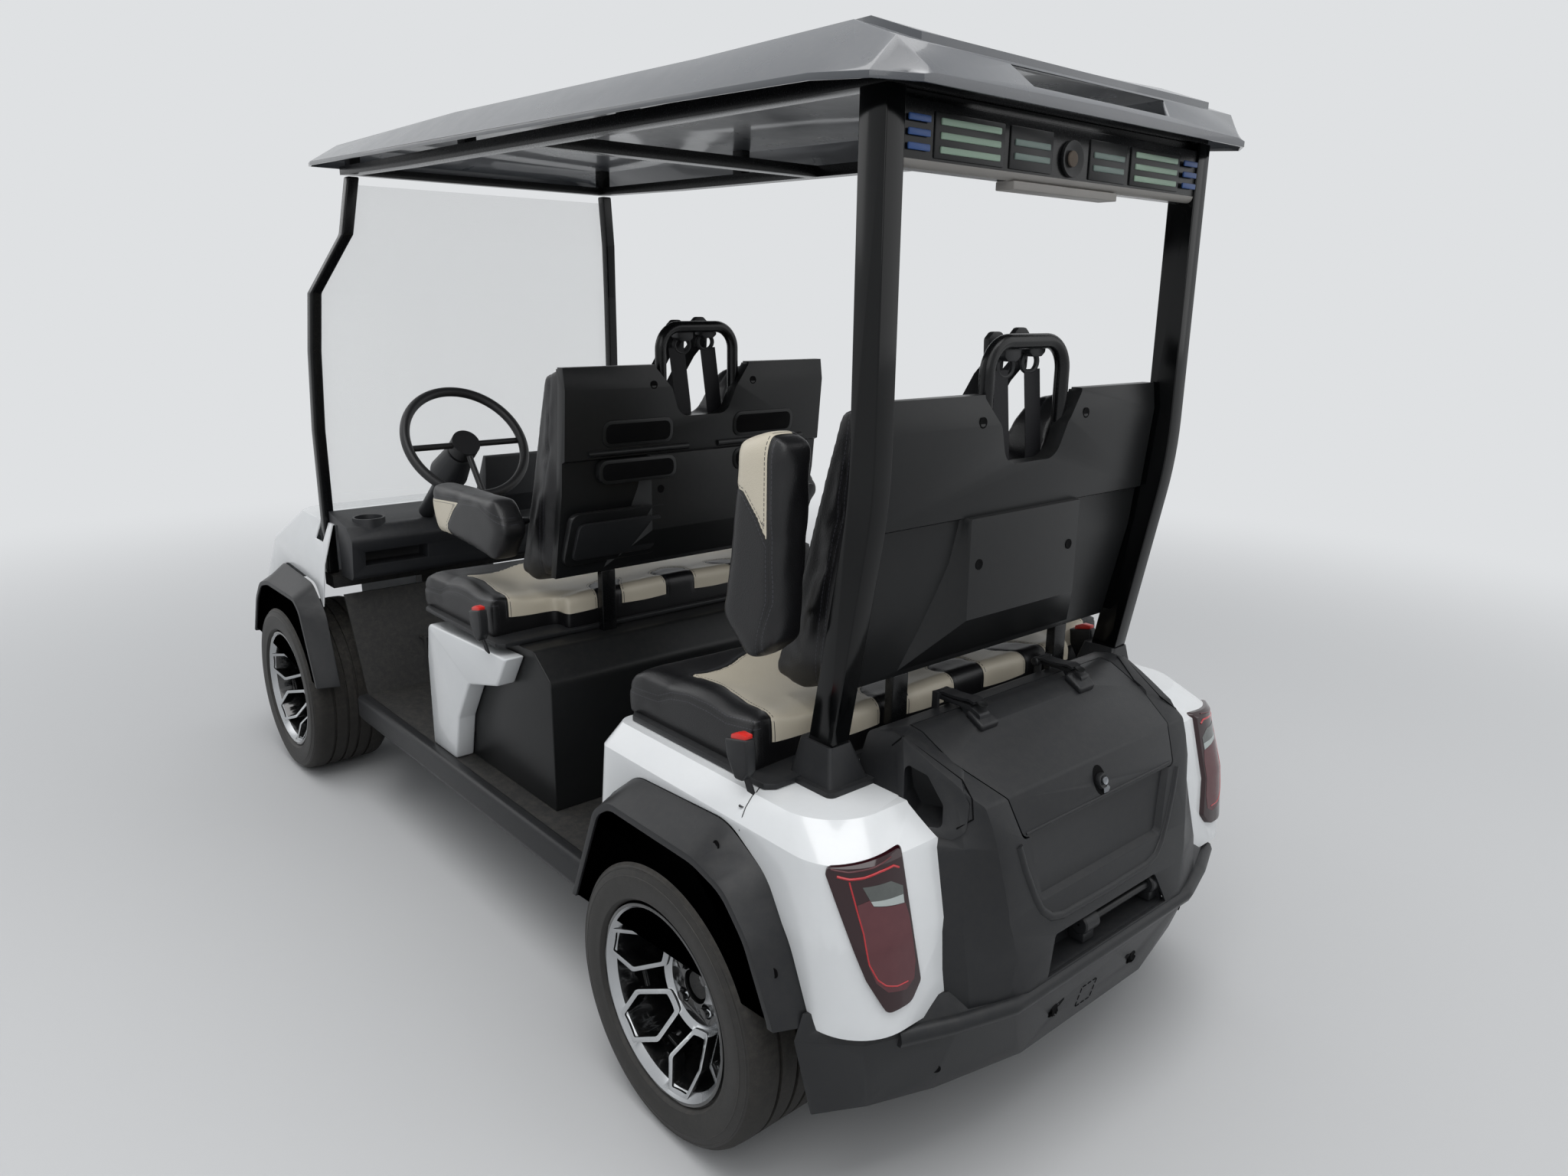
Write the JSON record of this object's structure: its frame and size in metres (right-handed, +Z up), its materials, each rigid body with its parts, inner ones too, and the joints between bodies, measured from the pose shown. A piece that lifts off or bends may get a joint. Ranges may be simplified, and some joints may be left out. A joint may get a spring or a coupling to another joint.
{
  "type": "golf cart",
  "caption": "Electric golf cart with bench seats on lifted black fenders, a roof on angled posts, a rear trunk with a hinged lid, wide tyres on alloy wheels and front steering.",
  "frame": {"origin": "on the ground under the middle of the whole box, in the middle plane", "axes": "+X forward along the cart, +Y to its left, +Z up"},
  "size_m": [3.122, 1.3588, 1.9899],
  "materials": {
    "white_plastic": "moulded white body panels, dusty",
    "black_plastic": "grained black moulding",
    "dash_plastic": "smooth dark grey dashboard",
    "roof_plastic": "gloss black roof moulding",
    "red_lens": "ribbed red lamp lens",
    "clear_lens": "clear lamp lens",
    "cream_vinyl": "cream seat vinyl with black rear band",
    "arm_vinyl": "black foam skin of the arm rests",
    "black_metal": "satin black powder coat",
    "floor_mat": "ribbed dark floor mat, dusty",
    "grey_case": "battery case",
    "screen": "clear acrylic windshield",
    "rack_steel": "plain steel bar",
    "wheel_grip": "black steering wheel grip",
    "alloy": "gloss black alloy with machined faces",
    "tyre": "dusty black tyre"
  },
  "bodies": {
    "chassis": {"chassis_frame": "black_metal", "floor_pan": "floor_mat", "sills": "black_plastic", "rear_fenders": "white_plastic", "tail_lamps": "red_lens", "rear_bumper": "black_plastic", "wheel_flares": "black_plastic", "front_cowl": "white_plastic", "front_bumper": "black_plastic", "headlamps": "clear_lens", "trunk_tub": "black_plastic", "rear_seat_base": "black_plastic", "side_pods": "white_plastic", "front_seat_base": "black_plastic", "battery_pack": "grey_case", "seat_brackets": "black_metal", "seat_cushions": "cream_vinyl", "seat_backs": "cream_vinyl", "seat_shells": "black_plastic", "belt_hoops": "black_metal", "arm_pads": "arm_vinyl", "rear_posts": "black_metal", "post_boots": "black_plastic", "front_posts": "black_metal", "windshield": "screen", "dashboard": "dash_plastic", "steering_column": "black_plastic", "pedals": "black_metal", "rear_axle": "black_metal", "suspension": "black_metal", "roof_shell": "roof_plastic", "roof_frame": "black_metal", "light_bar": "black_metal"},
    "trunk_lid": {"trunk_lid": "black_plastic"},
    "steering_wheel": {"steering_wheel": "wheel_grip"},
    "steering_rack": {"steering_rack": "rack_steel"},
    "knuckle_left": {"knuckle_left": "black_metal"},
    "knuckle_right": {"knuckle_right": "black_metal"},
    "wheel_front_left": {"rim_front_left": "alloy", "tyre_front_left": "tyre"},
    "wheel_front_right": {"rim_front_right": "alloy", "tyre_front_right": "tyre"},
    "wheel_rear_left": {"rim_rear_left": "alloy", "tyre_rear_left": "tyre"},
    "wheel_rear_right": {"rim_rear_right": "alloy", "tyre_rear_right": "tyre"}
  },
  "joints": [
    {"name": "steer_left", "type": "hinge", "parent": "chassis", "child": "knuckle_left", "pos_m": [1.148, 0.45, 0.28], "axis": [0, 0, 1], "range_deg": [-28, 28]},
    {"name": "steer_right", "type": "hinge", "parent": "chassis", "child": "knuckle_right", "pos_m": [1.148, -0.45, 0.28], "axis": [0, 0, 1], "range_deg": [-28, 28]},
    {"name": "rack_slide", "type": "slide", "parent": "chassis", "child": "steering_rack", "axis": [0, -1, 0], "range_m": [-0.0434, 0.0434]},
    {"name": "steering_wheel_turn", "type": "hinge", "parent": "chassis", "child": "steering_wheel", "pos_m": [0.521, 0.27, 1.14], "axis": [-0.788, 0, 0.6157], "range_deg": [-505, 505]},
    {"name": "trunk_hinge", "type": "hinge", "parent": "chassis", "child": "trunk_lid", "pos_m": [-1.253, 0, 0.842], "axis": [0, 1, 0], "range_deg": [0, 60]},
    {"name": "spin_front_left", "type": "hinge", "parent": "knuckle_left", "child": "wheel_front_left", "pos_m": [1.148, 0.545, 0.28], "axis": [0, 1, 0], "continuous": true},
    {"name": "spin_front_right", "type": "hinge", "parent": "knuckle_right", "child": "wheel_front_right", "pos_m": [1.148, -0.545, 0.28], "axis": [0, 1, 0], "continuous": true},
    {"name": "spin_rear_left", "type": "hinge", "parent": "chassis", "child": "wheel_rear_left", "pos_m": [-1.039, 0.545, 0.28], "axis": [0, 1, 0], "continuous": true},
    {"name": "spin_rear_right", "type": "hinge", "parent": "chassis", "child": "wheel_rear_right", "pos_m": [-1.039, -0.545, 0.28], "axis": [0, 1, 0], "continuous": true}
  ],
  "couplings": [
    {"joint": "steer_right", "follows": "steer_left", "ratio": 1},
    {"joint": "rack_slide", "follows": "steer_left", "m_per_rad": 0.0885},
    {"joint": "steering_wheel_turn", "follows": "steer_left", "ratio": 18}
  ]
}
